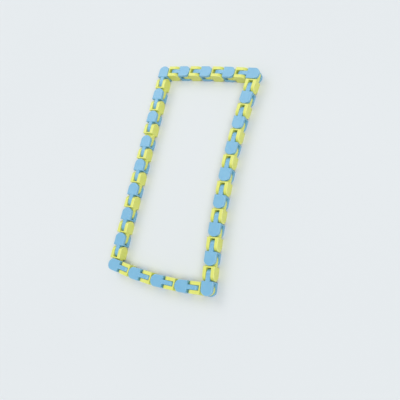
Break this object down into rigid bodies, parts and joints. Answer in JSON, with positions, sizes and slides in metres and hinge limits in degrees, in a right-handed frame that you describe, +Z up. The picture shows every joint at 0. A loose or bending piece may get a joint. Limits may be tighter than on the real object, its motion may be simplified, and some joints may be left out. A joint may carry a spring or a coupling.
{
  "type": "fidget track",
  "caption": "Loop of click-together two-colour links, each hinged to the next by a tongue in a fork with the pivots a quarter turn apart, for bending into shapes.",
  "frame": {"origin": "on the surface the loop lies on, under the middle of its bounding box", "axes": "+X along the short sides, +Y along the long sides, +Z up out of the surface"},
  "size_m": [0.1244, 0.2446, 0.012],
  "materials": {
    "blue_plastic": "satin moulded",
    "yellow_plastic": "satin moulded"
  },
  "bodies": {
    "blue_link_01": {"blue_link_01": "blue_plastic"},
    "yellow_link_01": {"yellow_link_01": "yellow_plastic"},
    "blue_link_02": {"blue_link_02": "blue_plastic"},
    "yellow_link_02": {"yellow_link_02": "yellow_plastic"},
    "blue_link_03": {"blue_link_03": "blue_plastic"},
    "yellow_link_03": {"yellow_link_03": "yellow_plastic"},
    "blue_link_04": {"blue_link_04": "blue_plastic"},
    "yellow_link_04": {"yellow_link_04": "yellow_plastic"},
    "blue_link_05": {"blue_link_05": "blue_plastic"},
    "yellow_link_05": {"yellow_link_05": "yellow_plastic"},
    "blue_link_06": {"blue_link_06": "blue_plastic"},
    "yellow_link_06": {"yellow_link_06": "yellow_plastic"},
    "blue_link_07": {"blue_link_07": "blue_plastic"},
    "yellow_link_07": {"yellow_link_07": "yellow_plastic"},
    "blue_link_08": {"blue_link_08": "blue_plastic"},
    "yellow_link_08": {"yellow_link_08": "yellow_plastic"},
    "blue_link_09": {"blue_link_09": "blue_plastic"},
    "yellow_link_09": {"yellow_link_09": "yellow_plastic"},
    "blue_link_10": {"blue_link_10": "blue_plastic"},
    "yellow_link_10": {"yellow_link_10": "yellow_plastic"},
    "blue_link_11": {"blue_link_11": "blue_plastic"},
    "yellow_link_11": {"yellow_link_11": "yellow_plastic"},
    "blue_link_12": {"blue_link_12": "blue_plastic"},
    "yellow_link_12": {"yellow_link_12": "yellow_plastic"},
    "blue_link_13": {"blue_link_13": "blue_plastic"},
    "yellow_link_13": {"yellow_link_13": "yellow_plastic"},
    "blue_link_14": {"blue_link_14": "blue_plastic"},
    "yellow_link_14": {"yellow_link_14": "yellow_plastic"},
    "blue_link_15": {"blue_link_15": "blue_plastic"},
    "yellow_link_15": {"yellow_link_15": "yellow_plastic"},
    "blue_link_16": {"blue_link_16": "blue_plastic"},
    "yellow_link_16": {"yellow_link_16": "yellow_plastic"},
    "blue_link_17": {"blue_link_17": "blue_plastic"},
    "yellow_link_17": {"yellow_link_17": "yellow_plastic"},
    "blue_link_18": {"blue_link_18": "blue_plastic"},
    "yellow_link_18": {"yellow_link_18": "yellow_plastic"},
    "blue_link_19": {"blue_link_19": "blue_plastic"},
    "yellow_link_19": {"yellow_link_19": "yellow_plastic"},
    "blue_link_20": {"blue_link_20": "blue_plastic"},
    "yellow_link_20": {"yellow_link_20": "yellow_plastic"},
    "blue_link_21": {"blue_link_21": "blue_plastic"},
    "yellow_link_21": {"yellow_link_21": "yellow_plastic"},
    "blue_link_22": {"blue_link_22": "blue_plastic"},
    "yellow_link_22": {"yellow_link_22": "yellow_plastic"},
    "blue_link_23": {"blue_link_23": "blue_plastic"},
    "yellow_link_23": {"yellow_link_23": "yellow_plastic"},
    "blue_link_24": {"blue_link_24": "blue_plastic"},
    "yellow_link_24": {"yellow_link_24": "yellow_plastic"}
  },
  "joints": [
    {"name": "rise_01", "type": "hinge", "parent": "yellow_link_01", "child": "blue_link_01", "pos_m": [-0.05591, 0.01603, 0.006], "axis": [-1, 0, 0], "range_deg": [-90, 90]},
    {"name": "flat_02", "type": "hinge", "parent": "blue_link_02", "child": "yellow_link_01", "pos_m": [-0.05591, 0.00202, 0.006], "axis": [0, 0, -1], "range_deg": [-90, 90]},
    {"name": "rise_03", "type": "hinge", "parent": "yellow_link_02", "child": "blue_link_02", "pos_m": [-0.05591, -0.01197, 0.006], "axis": [1, 0, 0], "range_deg": [-90, 90]},
    {"name": "flat_04", "type": "hinge", "parent": "blue_link_03", "child": "yellow_link_02", "pos_m": [-0.05591, -0.02598, 0.006], "axis": [0, 0, 1], "range_deg": [-90, 90]},
    {"name": "rise_05", "type": "hinge", "parent": "yellow_link_03", "child": "blue_link_03", "pos_m": [-0.05591, -0.03997, 0.006], "axis": [-1, 0, 0], "range_deg": [-90, 90]},
    {"name": "flat_06", "type": "hinge", "parent": "blue_link_04", "child": "yellow_link_03", "pos_m": [-0.05591, -0.05398, 0.006], "axis": [0, 0, -1], "range_deg": [-90, 90]},
    {"name": "rise_07", "type": "hinge", "parent": "yellow_link_04", "child": "blue_link_04", "pos_m": [-0.05591, -0.06797, 0.006], "axis": [1, 0, 0], "range_deg": [-90, 90]},
    {"name": "flat_08", "type": "hinge", "parent": "blue_link_05", "child": "yellow_link_04", "pos_m": [-0.05591, -0.08198, 0.006], "axis": [0, 0, 1], "range_deg": [-45, 90]},
    {"name": "rise_09", "type": "hinge", "parent": "yellow_link_05", "child": "blue_link_05", "pos_m": [-0.05591, -0.09598, 0.006], "axis": [-1, 0, 0], "range_deg": [-90, 90]},
    {"name": "flat_10", "type": "hinge", "parent": "blue_link_06", "child": "yellow_link_05", "pos_m": [-0.05591, -0.10998, 0.006], "axis": [0, 0, -1], "range_deg": [-171.2, 8.7]},
    {"name": "rise_11", "type": "hinge", "parent": "yellow_link_06", "child": "blue_link_06", "pos_m": [-0.04208, -0.1121, 0.006], "axis": [0.1521, 0.9884, 0], "range_deg": [-90, 90]},
    {"name": "flat_12", "type": "hinge", "parent": "blue_link_07", "child": "yellow_link_06", "pos_m": [-0.02824, -0.11423, 0.006], "axis": [0, 0, 1], "range_deg": [0, 94.5]},
    {"name": "rise_13", "type": "hinge", "parent": "yellow_link_07", "child": "blue_link_07", "pos_m": [-0.01428, -0.11527, 0.006], "axis": [-0.0741, -0.9973, 0], "range_deg": [-90, 90]},
    {"name": "flat_14", "type": "hinge", "parent": "blue_link_08", "child": "yellow_link_07", "pos_m": [-0.00032, -0.11631, 0.006], "axis": [0, 0, -1], "range_deg": [-94.5, 0]},
    {"name": "rise_15", "type": "hinge", "parent": "yellow_link_08", "child": "blue_link_08", "pos_m": [0.01368, -0.11625, 0.006], "axis": [-0.0044, 1, 0], "range_deg": [-90, 90]},
    {"name": "flat_16", "type": "hinge", "parent": "blue_link_09", "child": "yellow_link_08", "pos_m": [0.02768, -0.11619, 0.006], "axis": [0, 0, 1], "range_deg": [0, 94.5]},
    {"name": "rise_17", "type": "hinge", "parent": "yellow_link_09", "child": "blue_link_09", "pos_m": [0.04164, -0.11503, 0.006], "axis": [0.0828, -0.9966, 0], "range_deg": [-90, 90]},
    {"name": "flat_18", "type": "hinge", "parent": "blue_link_10", "child": "yellow_link_09", "pos_m": [0.05559, -0.11387, 0.006], "axis": [0, 0, -1], "range_deg": [-181.8, 0]},
    {"name": "rise_19", "type": "hinge", "parent": "yellow_link_10", "child": "blue_link_10", "pos_m": [0.05398, -0.09996, 0.006], "axis": [-0.9934, -0.1146, 0], "range_deg": [-90, 90]},
    {"name": "flat_20", "type": "hinge", "parent": "blue_link_11", "child": "yellow_link_10", "pos_m": [0.05238, -0.08605, 0.006], "axis": [0, 0, 1], "range_deg": [0, 88.1]},
    {"name": "rise_21", "type": "hinge", "parent": "yellow_link_11", "child": "blue_link_11", "pos_m": [0.05124, -0.0721, 0.006], "axis": [0.9967, 0.0816, 0], "range_deg": [-90, 90]},
    {"name": "flat_22", "type": "hinge", "parent": "blue_link_12", "child": "yellow_link_11", "pos_m": [0.0501, -0.05815, 0.006], "axis": [0, 0, -1], "range_deg": [-88.1, 0]},
    {"name": "rise_23", "type": "hinge", "parent": "yellow_link_12", "child": "blue_link_12", "pos_m": [0.04942, -0.04416, 0.006], "axis": [-0.9988, -0.0485, 0], "range_deg": [-90, 90]},
    {"name": "flat_24", "type": "hinge", "parent": "blue_link_13", "child": "yellow_link_12", "pos_m": [0.04874, -0.03018, 0.006], "axis": [0, 0, 1], "range_deg": [0, 88.1]},
    {"name": "rise_25", "type": "hinge", "parent": "blue_link_13", "child": "yellow_link_13", "pos_m": [0.04852, -0.01618, 0.006], "axis": [-0.9999, -0.0153, 0], "range_deg": [-90, 90]},
    {"name": "flat_26", "type": "hinge", "parent": "yellow_link_13", "child": "blue_link_14", "pos_m": [0.04831, -0.00218, 0.006], "axis": [0, 0, 1], "range_deg": [-88.1, 0]},
    {"name": "rise_27", "type": "hinge", "parent": "blue_link_14", "child": "yellow_link_14", "pos_m": [0.04856, 0.01182, 0.006], "axis": [0.9998, -0.0178, 0], "range_deg": [-90, 90]},
    {"name": "flat_28", "type": "hinge", "parent": "yellow_link_14", "child": "blue_link_15", "pos_m": [0.04881, 0.02581, 0.006], "axis": [0, 0, -1], "range_deg": [0, 88.1]},
    {"name": "rise_29", "type": "hinge", "parent": "blue_link_15", "child": "yellow_link_15", "pos_m": [0.04952, 0.03979, 0.006], "axis": [-0.9987, 0.051, 0], "range_deg": [-90, 90]},
    {"name": "flat_30", "type": "hinge", "parent": "yellow_link_15", "child": "blue_link_16", "pos_m": [0.05024, 0.05378, 0.006], "axis": [0, 0, 1], "range_deg": [-88.1, 0]},
    {"name": "rise_31", "type": "hinge", "parent": "blue_link_16", "child": "yellow_link_16", "pos_m": [0.05141, 0.06773, 0.006], "axis": [0.9965, -0.084, 0], "range_deg": [-90, 90]},
    {"name": "flat_32", "type": "hinge", "parent": "yellow_link_16", "child": "blue_link_17", "pos_m": [0.05259, 0.08168, 0.006], "axis": [0, 0, -1], "range_deg": [0, 88.1]},
    {"name": "rise_33", "type": "hinge", "parent": "blue_link_17", "child": "yellow_link_17", "pos_m": [0.05423, 0.09558, 0.006], "axis": [-0.9931, 0.117, 0], "range_deg": [-90, 90]},
    {"name": "flat_34", "type": "hinge", "parent": "yellow_link_17", "child": "blue_link_18", "pos_m": [0.05586, 0.10948, 0.006], "axis": [0, 0, 1], "range_deg": [-181.5, 0]},
    {"name": "rise_35", "type": "hinge", "parent": "blue_link_18", "child": "yellow_link_18", "pos_m": [0.04192, 0.11074, 0.006], "axis": [0.0897, 0.996, 0], "range_deg": [-90, 90]},
    {"name": "flat_36", "type": "hinge", "parent": "yellow_link_18", "child": "blue_link_19", "pos_m": [0.02798, 0.112, 0.006], "axis": [0, 0, -1], "range_deg": [0, 91.2]},
    {"name": "rise_37", "type": "hinge", "parent": "blue_link_19", "child": "yellow_link_19", "pos_m": [0.01401, 0.11296, 0.006], "axis": [-0.0689, -0.9976, 0], "range_deg": [-90, 90]},
    {"name": "flat_38", "type": "hinge", "parent": "yellow_link_19", "child": "blue_link_20", "pos_m": [0.00005, 0.11393, 0.006], "axis": [0, 0, 1], "range_deg": [-91.1, 0]},
    {"name": "rise_39", "type": "hinge", "parent": "blue_link_20", "child": "yellow_link_20", "pos_m": [-0.01394, 0.1146, 0.006], "axis": [0.048, 0.9988, 0], "range_deg": [-90, 90]},
    {"name": "flat_40", "type": "hinge", "parent": "yellow_link_20", "child": "blue_link_21", "pos_m": [-0.02792, 0.11527, 0.006], "axis": [0, 0, -1], "range_deg": [0, 91.2]},
    {"name": "rise_41", "type": "hinge", "parent": "blue_link_21", "child": "yellow_link_21", "pos_m": [-0.04192, 0.11565, 0.006], "axis": [-0.027, -0.9996, 0], "range_deg": [-90, 90]},
    {"name": "flat_42", "type": "hinge", "parent": "yellow_link_21", "child": "blue_link_22", "pos_m": [-0.05591, 0.11603, 0.006], "axis": [0, 0, 1], "range_deg": [-181.5, 0]},
    {"name": "rise_43", "type": "hinge", "parent": "blue_link_22", "child": "yellow_link_22", "pos_m": [-0.05591, 0.10203, 0.006], "axis": [-1, 0, 0], "range_deg": [-90, 90]},
    {"name": "flat_44", "type": "hinge", "parent": "yellow_link_22", "child": "blue_link_23", "pos_m": [-0.05591, 0.08803, 0.006], "axis": [0, 0, -1], "range_deg": [-90, 90]},
    {"name": "rise_45", "type": "hinge", "parent": "blue_link_23", "child": "yellow_link_23", "pos_m": [-0.05591, 0.07402, 0.006], "axis": [1, 0, 0], "range_deg": [-90, 90]},
    {"name": "flat_46", "type": "hinge", "parent": "yellow_link_23", "child": "blue_link_24", "pos_m": [-0.05591, 0.06003, 0.006], "axis": [0, 0, 1], "range_deg": [-90, 90]},
    {"name": "rise_47", "type": "hinge", "parent": "blue_link_24", "child": "yellow_link_24", "pos_m": [-0.05591, 0.04603, 0.006], "axis": [-1, 0, 0], "range_deg": [-90, 90]}
  ]
}
